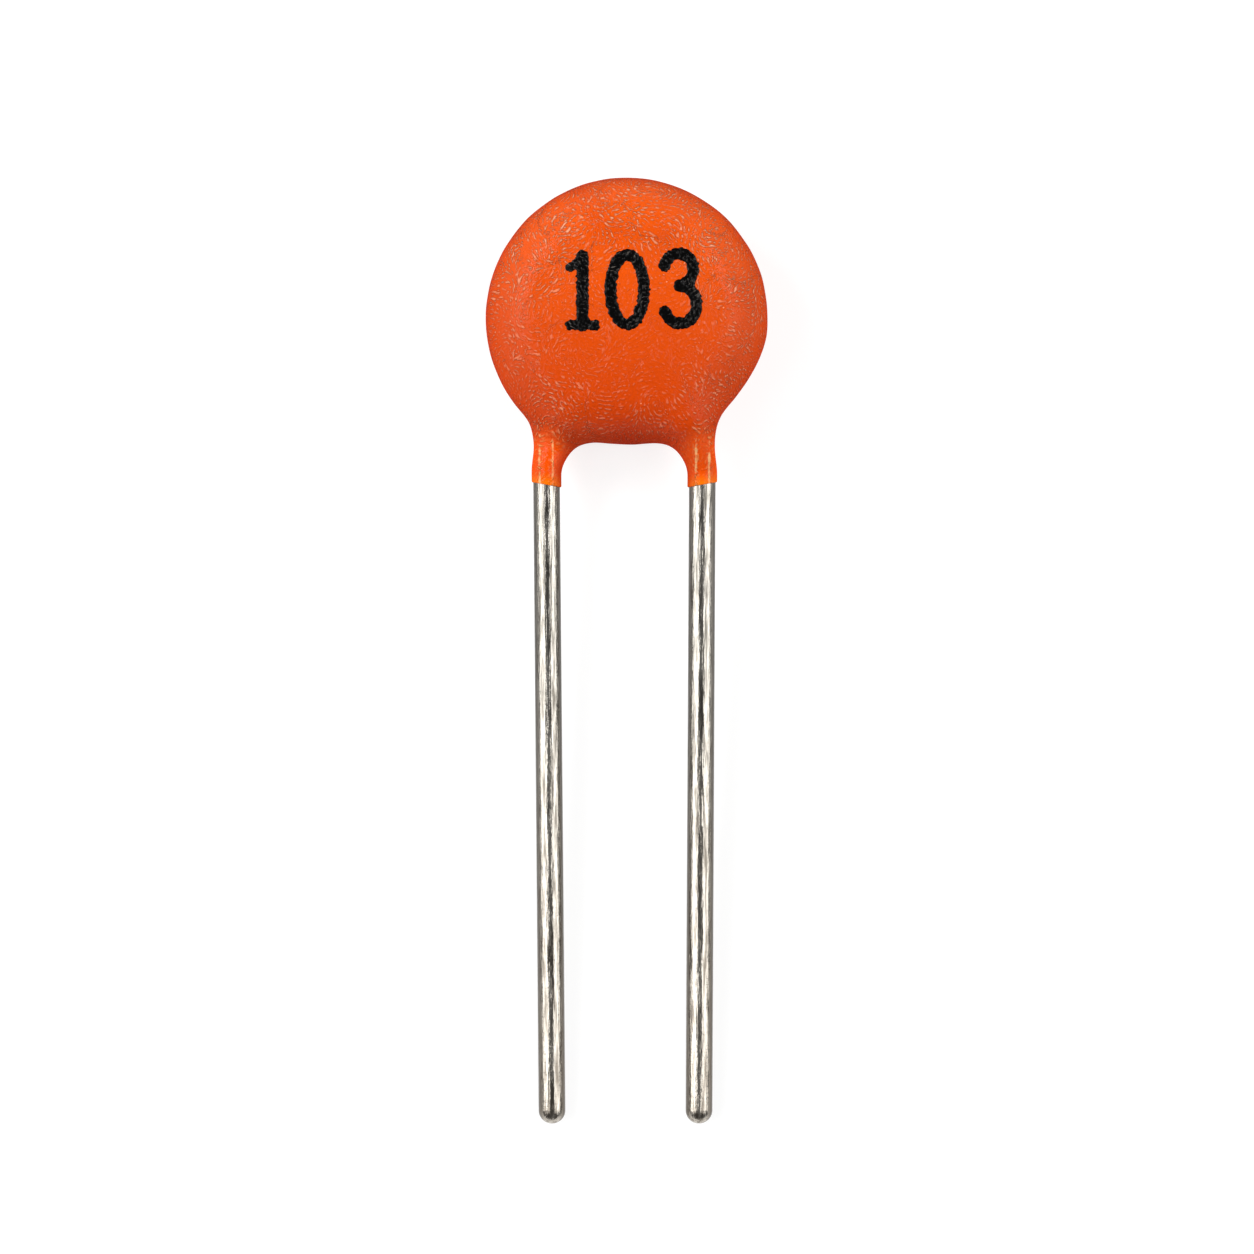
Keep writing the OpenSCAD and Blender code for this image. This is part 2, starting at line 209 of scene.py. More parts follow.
def wrinkles(material, place, sheet, shrink, depth):
    """Short worm-like strokes from Gabor noise, which is made of small wave packets, all of one wavelength.

    The packets run along a direction that turns slowly over the skin, and only the crests of their waves are kept. How
    much the skin shrank sets how strong they are, a slow noise makes them patchy, and a fine noise adds the grain. The
    packets lie on the sheet, two coordinates in millimetres on the surface, because packets in space take three times
    as long to render. Waves of 0.07 mm make the fine strokes, and waves of 0.12 mm the longer ones between them.
    """
    turning = add(material, "TexNoise", {"Vector": place, "Scale": 1.4, "Detail": 0.0})
    centred = {0: turning.outputs["Color"], 1: (-0.5, -0.5, -0.5)}
    around = add(material, "VectorMath", centred, operation="ADD")
    way = add(material, "SeparateXYZ", {"Vector": around.outputs[0]})
    angle = add(material, "Math", {0: way.outputs["Y"], 1: way.outputs["X"]}, operation="ARCTAN2")
    crests = []
    for scale, frequency, first, last in LAYERS:
        packets = {"Vector": sheet, "Scale": scale, "Frequency": frequency, "Anisotropy": 0.45, 4: angle.outputs[0]}
        waves = add(material, "TexGabor", packets, gabor_type="2D").outputs["Value"]
        range_of_crests = {"Value": waves, "From Min": first, "From Max": last}
        crests.append(add(material, "MapRange", range_of_crests, interpolation_type="SMOOTHSTEP").outputs[0])
    worms = add(material, "Math", {0: crests[0], 1: crests[1]}, operation="MAXIMUM")
    patch = add(material, "TexNoise", {"Vector": place, "Scale": 1.6, "Detail": 2.0})
    strong = {"Value": patch.outputs["Fac"], "From Min": 0.38, "From Max": 0.6, "To Min": 0.6, "To Max": 1.0}
    strength = add(material, "Math", {0: add(material, "MapRange", strong).outputs[0], 1: shrink}, operation="MULTIPLY")
    strokes = add(material, "Math", {0: worms.outputs[0], 1: strength.outputs[0]}, operation="MULTIPLY")
    grain = add(material, "TexNoise", {"Vector": place, "Scale": 24.0, "Detail": 1.0})
    height = add(material, "Math", {0: grain.outputs["Fac"], 1: 0.5, 2: strokes.outputs[0]}, operation="MULTIPLY_ADD")
    bump = add(material, "Bump", {"Height": height.outputs[0], "Distance": depth / 1000, "Strength": 1.0})
    return bump.outputs[0], strokes.outputs[0]


# %% [markdown]
# ### Colour of the resin
# The pigment varies in soft clouds. The disc is painted darker low down, as painted shade where the lamps above reach
# it less, and the crests of the wrinkles are painted paler, as painted glints where they catch the lamps. The rest of
# the tones follow the shape. Each is a share, worked out for every point of the skin further down and stored on the
# mesh: "rim" for the rounded edge, which is painted darker as painted shade, "steep" for what faces sideways, "leg"
# and "lip" for the thin resin on the wires, "leg_glint_mask" for two pale streaks of painted highlight that run down
# each leg, "gap_shade" for painted shade on the side that faces the gap between the legs, and "shrink" for how strong
# the wrinkles are, which may go past 1.

# %% Colour of the resin
resin, resin_shader, resin_place = new_finish("pigmented_dip_resin_baked", Specular_IOR_Level=0.15)
resin_sheet, resin_shrink = read_share(resin, "unrolled", "Vector"), read_share(resin, "shrink")
resin_normal, resin_glint_strokes = wrinkles(resin, resin_place, resin_sheet, resin_shrink, 0.027)
resin.node_tree.links.new(resin_normal, resin_shader.inputs["Normal"])

height_up = add(resin, "SeparateXYZ", {"Vector": resin_place}).outputs["Y"]
cloud = add(resin, "TexNoise", {"Vector": resin_place, "Scale": 1.1, "Detail": 3.0}).outputs["Fac"]
SHARES = ("rim", "steep", "leg", "lip", "gap_shade", "leg_glint_mask")
rim, steep, leg, lip, gap_shade, leg_glint_mask = (read_share(resin, name) for name in SHARES)
# Painted shade: the resin is painted darker towards the bottom of the disc, which the lamps above light less.
tone = blend(resin, height_up, linear("#C73B02"), "#EE5809", From_Min=-2.2, From_Max=1.6)
tone = blend(resin, cloud, tone, "#D44402", From_Min=0.45, From_Max=0.75, To_Max=0.5)
# Painted highlight: the crests of the wrinkles are painted pale as glints, strongest where the wrinkles are strongest.
tone = blend(resin, resin_glint_strokes, tone, "#FFA880", From_Min=0.1, From_Max=1.4, To_Max=0.95)
# Pale specks: a grain of pigment lies near the middle of some cells, 0.3 mm across, close under the skin.
cells = add(resin, "TexVoronoi", {"Vector": resin_place, "Scale": 3.4})
tone = blend(resin, cells.outputs["Distance"], tone, "#FFB488", From_Min=0.055, From_Max=0.03, To_Max=0.7)
# Painted shade: the rounded edge is painted a darker red where it faces sideways.
tone = blend(resin, rim, tone, "#C93900")
tone = blend(resin, leg, tone, "#ED4F00")
# Painted highlight: pale yellow strokes on the legs stand for glints of the lamps.
leg_glint_strokes = add(resin, "Math", {0: resin_glint_strokes, 1: leg}, operation="MULTIPLY").outputs[0]
tone = blend(resin, leg_glint_strokes, tone, "#FFC476", From_Max=1.0, To_Max=0.6)
tone = blend(resin, lip, tone, "#FF7902")
# Painted highlight: two broken pale streaks down the front of each leg, where the strip lamps would reflect.
broken = add(resin, "TexNoise", {"Vector": resin_place, "Scale": 7.0, "Detail": 2.0}).outputs["Fac"]
leg_glint_streaks = add(resin, "Math", {0: broken, 1: leg_glint_mask}, operation="MULTIPLY").outputs[0]
tone = blend(resin, leg_glint_streaks, tone, "#FFC888", From_Min=0.34, From_Max=0.6, To_Max=0.8)
# Painted shade: the side that faces the gap between the legs is painted dark red.
tone = blend(resin, gap_shade, tone, "#C23000")
resin.node_tree.links.new(tone, resin_shader.inputs["Base Color"])
edges = add(resin, "Math", {0: steep, 1: gap_shade}, operation="MAXIMUM").outputs[0]
dull = add(resin, "MapRange", {"Value": edges, "To Min": 0.15, "To Max": 1.0}).outputs[0]
resin.node_tree.links.new(dull, resin_shader.inputs["Roughness"])

# %% [markdown]
# ### Marking ink
# The numerals are stamped on with a black ink, about a hundredth of a millimetre thick. It follows the wrinkles of the
# resin, and the crests of its wrinkles are painted pale grey, as painted glints like those on the resin.

# %% Ink
ink, ink_shader, ink_place = new_finish("black_stamping_ink", Roughness=0.16, Specular_IOR_Level=0.15)
ink_normal, ink_glint_strokes = wrinkles(ink, ink_place, ink_place, 0.8, 0.018)
ink.node_tree.links.new(ink_normal, ink_shader.inputs["Normal"])
# Painted highlight: the crests of the ink's wrinkles are painted pale grey, as glints.
ink_tone = blend(ink, ink_glint_strokes, linear("#020202"), "#5A544E", From_Min=0.35, From_Max=0.8)
ink.node_tree.links.new(ink_tone, ink_shader.inputs["Base Color"])

# %% [markdown]
# ### Tinned wire
# The leads are steel or copper wire, drawn through a die and dipped in molten tin. The tin is bright, but it froze with
# long low streaks and small pits, so reflections of the lamps in it are ragged bands. Both flanks of each wire are
# painted dark all the way round, as a painted dark reflection at the wire's edges.

# %% Tinned wire
tin, tin_shader, tin_place = new_finish("tinned_drawn_wire", Metallic=1.0, Roughness=0.17)
along = add(tin, "Mapping", {"Vector": tin_place, "Scale": (20, 1.6, 20)}).outputs[0]
streaks = add(tin, "TexNoise", {"Vector": along, "Scale": 1.0, "Detail": 3.0}).outputs["Fac"]
flank_shade = read_share(tin, "flank_shade")
# Painted reflection: both sides of the wire are painted dark, broken by the streaks.
ragged = add(tin, "Math", {0: streaks, 1: 0.8, 2: flank_shade}, operation="MULTIPLY_ADD").outputs[0]
tin_tone = blend(tin, streaks, linear("#69655E"), "#C4BFB6", From_Min=0.35, From_Max=0.6)
tin_tone = blend(tin, ragged, tin_tone, "#332E28", From_Min=1.0, From_Max=1.3, To_Max=0.9)
down_wire = add(tin, "SeparateXYZ", {"Vector": tin_place}).outputs["Y"]
tin_tone = blend(tin, down_wire, tin_tone, "#9C8B78", From_Min=-5.0, From_Max=-13.0, To_Max=0.2)
tin.node_tree.links.new(tin_tone, tin_shader.inputs["Base Color"])
pits = add(tin, "TexNoise", {"Vector": tin_place, "Scale": 13.0, "Detail": 3.0, "Roughness": 0.6}).outputs["Fac"]
wire_height = add(tin, "Math", {0: pits, 1: 0.6, 2: streaks}, operation="MULTIPLY_ADD").outputs[0]
wire_bump = add(tin, "Bump", {"Height": wire_height, "Distance": 0.01 / 1000, "Strength": 1.0})
tin.node_tree.links.new(wire_bump.outputs[0], tin_shader.inputs["Normal"])

# %% [markdown]
# ## The resin skin
# The real skin is one flowing drop: a disc with domed faces and a rounded rim, which runs out along both wires. It
# could be modelled with subdivision, but a drop is easier to describe by how far a point is from it. The parts are
# blended by a soft minimum, and the skin is where that distance is nought.


# %% Distances
def soft_min(a, b, k):
    """The lower of two distances, with the corner between them rounded over the length k."""
    return np.minimum(a, b) - np.maximum(k - np.abs(a - b), 0) ** 2 / (4 * k)


def lead_out(side, y):
    """How far out a wire's centre is at height y: half the pitch, shifted, and turned in by a small angle."""
    return LEAD_PITCH / 2 + side * LEAD_SHIFT + (y - BARE_MID_Y) * math.tan(TOE_IN[side])


def step_foot(side):
    """The corner where a wire's straight run ends and its step begins."""
    return np.array([lead_out(side, STEP_FOOT_Y), STEP_FOOT_Y, 0])


def step_top(side):
    """The corner where the step ends, over the face of the ceramic disc."""
    return step_foot(side) + [-STEP_H * math.tan(LEAD_LEAN), STEP_H, WIRE_Z]


def off_stretch(p, a, b):
    """Distance to the straight stretch from a to b."""
    run = b - a
    t = np.clip((p - a) @ run / (run @ run), 0, 1)
    return np.linalg.norm(p - a - t[..., None] * run, axis=-1)


def bend_at(before, corner, after):
    """Where a bend starts and ends on the two stretches at a corner, its centre, and the way to its middle."""
    a, b = (corner - before) / np.linalg.norm(corner - before), (after - corner) / np.linalg.norm(after - corner)
    take = BEND_R * math.tan(math.acos(a @ b) / 2)
    outward = (a - b) / np.linalg.norm(a - b)
    return corner - take * a, corner + take * b, corner - outward * math.hypot(BEND_R, take), outward


def off_bend(p, start, centre, outward):
    """Distance to the arc of a bend: how far a point is from the arc's circle, where it lies between the arc's ends."""
    axis = np.cross(start - centre, outward)
    axis /= np.linalg.norm(axis)
    q = p - centre
    height = q @ axis
    flat = q - height[..., None] * axis
    out = np.linalg.norm(flat, axis=-1)
    beside = flat @ outward * BEND_R > out * ((start - centre) @ outward)
    return np.where(beside, np.hypot(out - BEND_R, height), COAT_R)


def off_leg(p, side):
    """Distance to the resin round one wire: straight, round the bend and up the step, with the resin's thickness."""
    q = p * [side, 1, side]
    end = np.array([lead_out(side, LEG_END_Y), LEG_END_Y, 0])
    start, stop, centre, outward = bend_at(end, step_foot(side), step_top(side))
    wire = np.minimum(off_stretch(q, end, start), off_bend(q, start, centre, outward))
    return np.minimum(wire, off_stretch(q, stop, step_top(side))) - WIRE_R - LEG_COVER


def off_disc(p):
    """Distance to the disc: where its outline and its two domes meet, the edge is rounded like a rim."""
    x, y, z = np.moveaxis(p, -1, 0)
    outline = -soft_min(COAT_R - np.hypot(x, y), y - FOOT_Y, FOOT_FILLET)
    shoulder = x * math.cos(SHOULDER_ANGLE) - y * math.sin(SHOULDER_ANGLE) - (COAT_R - SHOULDER_FLAT)
    outline = -soft_min(-outline, -shoulder, SHOULDER_FILLET)
    a = outline + RIM_ROUND
    b = np.sqrt(x**2 + y**2 + (np.abs(z) + DOME_Z) ** 2) - DOME_R + RIM_ROUND
    return np.minimum(np.maximum(a, b), 0) + np.hypot(np.maximum(a, 0), np.maximum(b, 0)) - RIM_ROUND


def off_coating(p):
    """Distance to the whole skin, with fillets where the legs leave the disc."""
    return soft_min(soft_min(off_disc(p), off_leg(p, -1), LEG_FILLET), off_leg(p, 1), LEG_FILLET)


# %% [markdown]
# ### Rings round the drop
# The skin is a tube bent like a horseshoe: up the left leg, over the disc and down the right leg. Each ring of the tube
# is found by shooting rays from a centre, and halving the stretch in which a ray leaves the drop again and again. Both
# ends of the tube shrink and close inside the wire.


# %% Rings
HALVINGS = 26


def reach(centres, directions, far):
    """How far each ray goes before it leaves the drop, by halving the stretch that holds the skin."""
    near = np.zeros(directions.shape[:-1])
    far = np.broadcast_to(far, near.shape).copy()
    for _ in range(HALVINGS):
        middle = (near + far) / 2
        inside = off_coating(centres + middle[..., None] * directions) < 0
        near, far = np.where(inside, middle, near), np.where(inside, far, middle)
    return near


def rings(centres, outward, wide, far, count):
    """Rings of points: rays in the plane of an outward direction and z, spread wider where the drop is flat."""
    turn = np.arange(count) * 2 * np.pi / count
    across = outward[:, None, :] * (wide[:, None] * np.cos(turn))[..., None]
    directions = across + np.sin(turn)[None, :, None] * np.array([0, 0, 1.0])
    directions /= np.linalg.norm(directions, axis=-1, keepdims=True)
    centres = np.broadcast_to(centres[:, None, :], directions.shape)
    return centres + reach(centres, directions, far[:, None])[..., None] * directions


def leg_rings(side, count, around):
    """Rings along one leg, slanted at its end and level where the disc begins."""
    share = np.linspace(0, 1, count)
    slant, y = END_SLANT * (1 - share), FAN_Y - (1 - share) * (FAN_Y - LEG_END_Y - END_SHORT)
    centres = np.stack([side * lead_out(side, y), y, 0 * y], -1)
    outward = np.stack([side * np.cos(slant), np.sin(slant), 0 * y], -1)
    return rings(centres, outward, np.ones(count), np.full(count, LEAD_PITCH / 2), around)


def fan_rings(count, around):
    """Rings that fan out over the disc from the left leg to the right one."""
    angle = np.linspace(180, 0, count)
    turn = np.radians(angle)
    outward = np.stack([np.cos(turn), np.sin(turn), 0 * turn], -1)
    rise = np.sin(turn) ** 3
    right, left = lead_out(1, FAN_Y), lead_out(-1, FAN_Y)
    out = right + (left - right) * angle / 180 + rise * (-FAN_Y - LEAD_PITCH / 2)
    centres = np.array([0, FAN_Y, 0]) + out[:, None] * outward
    wide = 1 + (COAT_R / HALF_T - 1) * np.sin(turn) ** 2
    return rings(centres, outward, wide, LEAD_PITCH / 2 + rise * COAT_R, around)


# %% The whole skin
AROUND, LEG_COUNT, FAN_COUNT = 240, 36, 300
LIP_TURNS, LIP_SHRINKS = (0.35, 0.8, 1.2), (0.8, 0.4, 0.1)
END_SHORT = 0.05


def leg_lip(ring, side):
    """The lip at a leg's end: the last ring shrinks to the wire along a quarter circle, and closes inside it."""
    y_axis = np.array([-side * math.sin(TOE_IN[side]), 1, 0])
    middle = ring.mean(0)
    spokes = ring - middle
    r = np.linalg.norm(spokes, axis=-1, keepdims=True)
    steps = []
    for turn in LIP_TURNS:
        drawn_in = spokes * (1 - LEG_COVER * (1 - math.cos(turn)) / r)
        steps.append(middle + drawn_in - LEG_COVER * math.sin(turn) * y_axis)
    for share in LIP_SHRINKS:
        steps.append(middle + spokes * share)
    return np.array(steps)


def skin_points():
    """All the rings in one grid: the left lip and leg, the fan over the disc, the right leg and lip."""
    left, right = leg_rings(-1, LEG_COUNT, AROUND), leg_rings(1, LEG_COUNT, AROUND)
    fan = fan_rings(FAN_COUNT, AROUND)
    rows = [leg_lip(left[0], -1)[::-1], left[:-1], fan, right[::-1][1:], leg_lip(right[0], 1)]
    return np.concatenate(rows)


skin = skin_points()
INSIDE_RINGS = len(LIP_TURNS) + len(LIP_SHRINKS)
off = np.abs(off_coating(skin[INSIDE_RINGS:-INSIDE_RINGS])).max()
print("farthest point of the skin off the drop:", round(float(off), 5), "mm")


# %% [markdown]
# ### Ripples and shades
# Baked resin is never quite even. The skin is lifted along its own outward direction by slow ripples, and the shares
# that the finish reads are worked out from where each point lies and which way it faces.


# %% Ripples and shades of the skin
RIPPLE_H, SAG, FOOT_SHORT = 0.006, 0.045, 0.025


def skin_slopes(p, step=0.002):
    """Outward directions: how the distance to the drop grows along x, y and z."""
    grow = [off_coating(p + step * axis) - off_coating(p - step * axis) for axis in np.eye(3)]
    grow = np.stack(grow, -1)
    return grow / np.linalg.norm(grow, axis=-1, keepdims=True)


def skin_lift(p):
    """How much the baked skin rises or sinks.

    Waves of about 0.9 and 0.4 mm die out towards the leg ends, and a drop hangs between the legs, where the resin ran
    together before it set: a bell curve along the foot.
    """
    waves = ripple(p, 0.9, seed=4) + 0.5 * ripple(p, 0.4, seed=9)
    foot = np.exp(-((p[..., 0] / 0.9) ** 4) - ((p[..., 1] - FOOT_Y) / 0.15) ** 2)
    drop = foot * (SAG * np.exp(-((p[..., 0] / 0.4) ** 2)) - FOOT_SHORT)
    return drop + RIPPLE_H * waves * np.clip((p[..., 1] - LEG_END_Y - 0.1) / 0.6, 0, 1)


flat = skin.reshape(-1, 3)
flat_slopes = skin_slopes(skin).reshape(-1, 3)
lifted = flat + flat_slopes * skin_lift(flat)[:, None]


def smooth(value):
    """A share from 0 to 1 that starts and ends gently."""
    t = np.clip(value, 0, 1)
    return t * t * (3 - 2 * t)


off_wire_line = np.minimum(abs(flat[:, 0] - lead_out(1, FOOT_Y)), abs(flat[:, 0] + lead_out(-1, FOOT_Y)))
from_gap = flat[:, :2] - [0, FAN_Y]
gap_out = np.linalg.norm(from_gap, axis=1)
towards_gap = -(flat_slopes[:, :2] * from_gap).sum(1) / gap_out
sideways_share = 1 - np.abs(flat_slopes[:, 2])
leg_share = smooth((FOOT_Y + 0.1 - flat[:, 1] + 0.4 * np.clip(1 - off_wire_line / 0.45, 0, 1)) / 0.5)
# The wrinkles are weak in the middle of the disc and grow towards its rim, most of all towards its top.
disc_shrink = 0.35 + 0.65 * smooth((np.hypot(flat[:, 0], flat[:, 1] + 0.2) - 0.9) / 1.0)
disc_shrink *= 1 + 0.5 * smooth((flat[:, 1] + 0.2) / 1.2)
# On each leg they are strong along two lines only, which lie this far to either side of the wire's middle.
GLINT_OUT = 0.11
leg_shrink = 0.15 + 1.1 * np.exp(-(((off_wire_line - GLINT_OUT) / 0.045) ** 2))
shares = {
    # rim: where the rounded edge faces sideways and is painted darker, as painted shade.
    "rim": smooth(sideways_share**2 * 1.2),
    "shrink": disc_shrink + (leg_shrink - disc_shrink) * leg_share,
    "steep": smooth(sideways_share * 1.6),
    "leg": leg_share,
    # Painted highlight: the lines of pale streaks on each leg, on the side that faces up only.
    "leg_glint_mask": leg_share * np.exp(-(((off_wire_line - GLINT_OUT) / 0.035) ** 2)) * (flat_slopes[:, 2] > 0),
    "lip": smooth((LEG_END_Y + 0.26 - flat[:, 1]) / 0.26),
    # Painted shade: how much a point faces the gap between the legs.
    "gap_shade": np.clip(towards_gap, 0, 1) ** 2.2 * smooth((1.7 - gap_out) / 0.6),
}
skin_faces = tube_faces(len(skin), AROUND)
coating = make_piece("dipped_skin", lay_down(lifted), skin_faces, resin, "coating")
give_shares(coating, shares)

# %% [markdown]
# ### The sheet that the wrinkles are drawn on
# The wrinkles need two coordinates that run evenly over the skin, so the skin is unrolled to both sides. A rounded edge
# of radius r, which has turned by the angle a from the face, is r a long but reaches only r sin a outwards, so each
# point moves outwards by the difference. The back gets the same sheet as the front.

# %% The sheet that the wrinkles are drawn on
rounding = RIM_ROUND + (WIRE_R - RIM_ROUND) * shares["leg"]
tilt = np.arccos(np.clip(np.abs(flat_slopes[:, 2]), 0, 1))
sideways_part = np.linalg.norm(flat_slopes[:, :2], axis=1)
sideways = flat_slopes[:, :2] / np.maximum(sideways_part, 1e-9)[:, None]
sheet = flat[:, :2] + sideways * (rounding * (tilt - np.sin(tilt)))[:, None]
sheet = np.column_stack([sheet, 0 * tilt]).astype(np.float32)
coating.data.attributes.new("unrolled", "FLOAT_VECTOR", "POINT").data.foreach_set("vector", sheet.ravel())
print("sheet of the wrinkles:", np.ptp(sheet[:, :2], axis=0).round(2), "mm")

# %% [markdown]
# ## The wires
# Each wire is one tube: a round end, a long straight run, a gentle step towards the face of the ceramic disc and a
# short run over it to the solder. The path is a line with its corners rounded, and a ring of points is carried along
# it.


# %% Path of a wire
BEND_POINTS, PATH_STEP, BALL_RINGS = 12, 0.02, 13
END_SHRINKS = (0.5, 0.1)


def rounded_path(corners, radius, spacing):
    """A line through the corners with each one rounded to an arc, as points about one spacing apart."""
    legs = [np.array([corners[0]])]
    for before, corner, after in zip(corners, corners[1:], corners[2:]):
        a = (before - corner) / np.linalg.norm(before - corner)
        b = (after - corner) / np.linalg.norm(after - corner)
        half = math.acos(np.clip(a @ b, -1, 1)) / 2
        bisector = (a + b) / np.linalg.norm(a + b)
        centre = corner + bisector * radius / math.sin(half)
        sweep = math.pi / 2 - half
        side = np.cross(np.cross(a, b), bisector)
        side /= np.linalg.norm(side)
        turn = np.linspace(-sweep, sweep, BEND_POINTS)[:, None]
        arc = centre - radius * (bisector * np.cos(turn) + side * np.sin(turn))
        legs.append(arc if np.linalg.norm(arc[0] - before) < np.linalg.norm(arc[-1] - before) else arc[::-1])
    legs.append(np.array([corners[-1]]))
    line = np.concatenate(legs)
    length = np.concatenate([[0], np.cumsum(np.linalg.norm(np.diff(line, axis=0), axis=1))])
    even = np.linspace(0, length[-1], int(length[-1] / spacing))
    return np.stack([np.interp(even, length, line[:, i]) for i in range(3)], -1)


def wire_points(side, around):
    """The tube round the path. Its radius grows like a half ball at the free end, and shrinks at the other end."""
    tip_y = LEG_END_Y - LEAD_LENGTH + WIRE_R
    tip = np.array([lead_out(side, tip_y), tip_y, 0])
    lean = np.array([-math.sin(LEAD_LEAN), math.cos(LEAD_LEAN), 0])
    corners = [tip, step_foot(side), step_top(side), step_top(side) + LEAD_OVER * lean]
    path = rounded_path(corners, BEND_R, PATH_STEP)
    path = path * [side, 1, side]
    heading = np.gradient(path, axis=0)
    heading /= np.linalg.norm(heading, axis=1, keepdims=True)
    ball = np.linspace(0.02, np.pi / 2, BALL_RINGS + 1)[:-1]
    tip_rings = path[0] - heading[0] * WIRE_R * np.cos(ball)[:, None]
    radius = WIRE_R * np.concatenate([np.sin(ball), np.ones(len(path)), END_SHRINKS])
    ends = len(END_SHRINKS)
    path = np.concatenate([tip_rings, path, np.repeat(path[-1:], ends, 0)])
    heading = np.concatenate([np.repeat(heading[:1], BALL_RINGS, 0), heading, np.repeat(heading[-1:], ends, 0)])
    across = np.cross(heading, [1.0, 0, 0])
    across /= np.linalg.norm(across, axis=1, keepdims=True)
    third = np.cross(across, heading)
    turn = -np.arange(around) * 2 * np.pi / around
    ring = across[:, None] * np.cos(turn)[None, :, None] + third[:, None] * np.sin(turn)[None, :, None]
    return path[:, None] + ring * radius[:, None, None]


WIRE_AROUND = 56
for side, node in {1: "front_lead", -1: "back_lead"}.items():
    tube = wire_points(side, WIRE_AROUND)
    faces = tube_faces(len(tube), WIRE_AROUND)
    lead = make_piece("tinned_" + node, lay_down(tube.reshape(-1, 3)), faces, tin, node)
    # Painted reflection: the share is 1 at the sides of each wire, where it is painted dark.
    give_shares(lead, {"flank_shade": np.abs(tube[..., 0] - tube[..., 0].mean(1, keepdims=True)) / WIRE_R})

# %% [markdown]
# ## The numerals
# The value is printed as plain numerals. Each stroke is a line with round ends, and where two strokes meet the ink runs
# into the corner, which the soft minimum does. The ink spread unevenly, so its edge is ragged.

# %% Strokes of the numerals
INK_RUN, FAR = 0.05, 9.0
# The ragged edge is a sum of ripples: how high and how long each is, in millimetres, and its seed.
RAGGED = ((0.01, 0.13, 21), (0.008, 0.07, 22))


def arc(x, y, rx, ry, start, end):
    """Points on part of an ellipse, from one angle to another, in degrees."""
    turn = np.radians(np.linspace(start, end, 40))
    return np.stack([x + rx * np.cos(turn), y + ry * np.sin(turn)], -1)


# For each numeral its strokes, each as a line of points and half its width, in millimetres.
STROKES = {
    "1": [
        (np.array([[-0.74, 1.035], [-0.742, -0.12]]), 0.103),
        (np.array([[-0.95, 0.845], [-0.79, 0.93]]), 0.078),
        (np.array([[-0.945, -0.124], [-0.535, -0.122]]), 0.086),
    ],
    "0": [(arc(0.008, 0.473, 0.28, 0.583, 0, 360), 0.1)],
    "3": [
        (np.concatenate([arc(0.87, 0.815, 0.242, 0.26, 168, -64), [[0.94, 0.553]]]), 0.099),
        (np.array([[0.95, 0.552], [0.877, 0.535]]), 0.097),
        (np.concatenate([[[0.94, 0.548]], arc(0.894, 0.218, 0.275, 0.317, 76, -159)]), 0.1),
    ],
}


def off_line(p, line):
    """Distance to a line of many stretches, the nearest of them."""
    nearest = np.full(p.shape[:-1], np.inf)
    for a, b in zip(line, line[1:]):
        nearest = np.minimum(nearest, off_stretch(p, a, b))
    return nearest


def off_ink(p):
    """Distance to the ink: each numeral's strokes run together, less a ragged edge."""
    nearest = np.full(p.shape[:-1], np.inf)
    for strokes in STROKES.values():
        numeral = np.full(p.shape[:-1], FAR)
        for line, half in strokes:
            numeral = soft_min(numeral, off_line(p, line) - half, INK_RUN)
        nearest = np.minimum(nearest, numeral)
    for height, wave, seed in RAGGED:
        nearest = nearest + height * ripple(p, wave, seed)
    return nearest


# %% [markdown]
# ### A film of ink
# The ink is a grid of points over the numerals. Points just beside the edge slide onto it, so the outline is smooth,
# and only triangles inside it stay. The film is closed: a top, a bottom just under the skin and a wall between.

# %% Ink film
INK_STEP, INK_T, INK_SINK, SWELL_OVER = 0.01, 0.012, 0.01, 0.04
INK_X, INK_Y = (-1.12, 1.36), (-0.3, 1.24)


def ink_film():
    """Points and faces of the film: a top that swells from the edge inwards, a bottom under the skin, and the wall."""
    xs, ys = np.arange(*INK_X, INK_STEP), np.arange(*INK_Y, INK_STEP)
    p = np.stack(np.meshgrid(xs, ys, indexing="ij"), -1)
    off = off_ink(p)
    slope = np.stack(np.gradient(off, INK_STEP), -1)
    near = np.abs(off) < 0.7 * INK_STEP
    slide = near * off / np.maximum((slope**2).sum(-1), 0.2)
    p = p - slide[..., None] * slope
    keep = near | (off < 0)
    number = np.arange(off.size).reshape(off.shape)
    a, b, c, d = number[:-1, :-1], number[1:, :-1], number[1:, 1:], number[:-1, 1:]
    triangles = np.concatenate([np.stack([a, b, c], -1), np.stack([a, c, d], -1)]).reshape(-1, 3)
    triangles = triangles[keep.ravel()[triangles].all(1)]
    used, triangles = np.unique(triangles, return_inverse=True)
    triangles = triangles.reshape(-1, 3)
    p, off = p.reshape(-1, 2)[used], np.where(near, 0, off).ravel()[used]
    skin_z = np.sqrt(DOME_R**2 - (p**2).sum(1)) - DOME_Z
    on_skin = np.column_stack([p, skin_z])
    skin_z = skin_z + skin_lift(on_skin)
    swell = 1 - (1 - np.clip(-off / SWELL_OVER, 0, 1)) ** 2
    top = np.column_stack([p, skin_z + INK_T * (0.25 + 0.75 * swell)])
    bottom = np.column_stack([p, skin_z - INK_SINK])
    edges = np.concatenate([triangles[:, [0, 1]], triangles[:, [1, 2]], triangles[:, [2, 0]]])
    both = set(map(tuple, edges.tolist()))
    rim = np.array([e for e in both if (e[1], e[0]) not in both])
    count = len(p)
    walls = np.stack([rim[:, 0], rim[:, 0] + count, rim[:, 1] + count, rim[:, 1]], -1)
    faces = triangles.tolist() + (triangles[:, ::-1] + count).tolist() + walls.tolist()
    return np.concatenate([top, bottom]), faces


